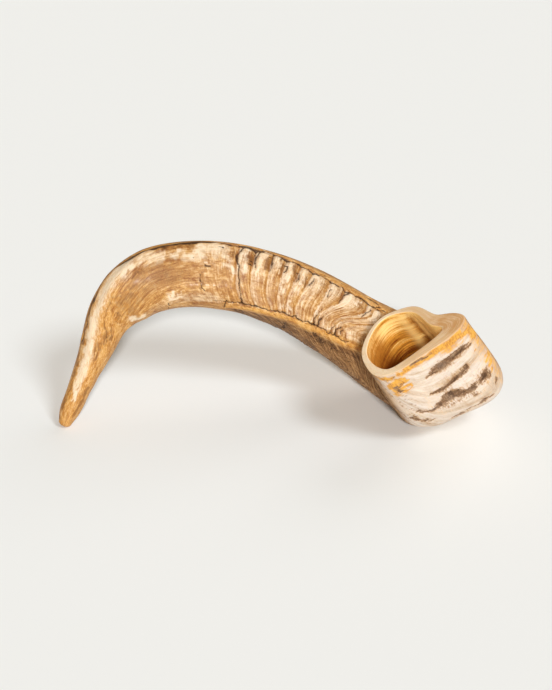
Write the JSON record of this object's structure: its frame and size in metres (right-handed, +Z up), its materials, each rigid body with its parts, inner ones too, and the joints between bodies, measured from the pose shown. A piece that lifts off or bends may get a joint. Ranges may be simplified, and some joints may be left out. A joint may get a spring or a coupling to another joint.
{
  "type": "ram horn",
  "caption": "Curved ram's horn lying on its tip and its heel, with growth ridges, two keels and a deep hollow behind a polished flat rim.",
  "frame": {"origin": "centre of the bounding box, on the ground plane that the tip and the heel rest on", "axes": "+Z up, +X along the longest extent from the tip toward the wide end, +Y away from the side the mouth faces"},
  "size_m": [0.3256, 0.1314, 0.1316],
  "materials": {
    "keratin": "satin, polished at the rim and the tip"
  },
  "bodies": {
    "root": {"horn": "keratin"}
  },
  "joints": []
}
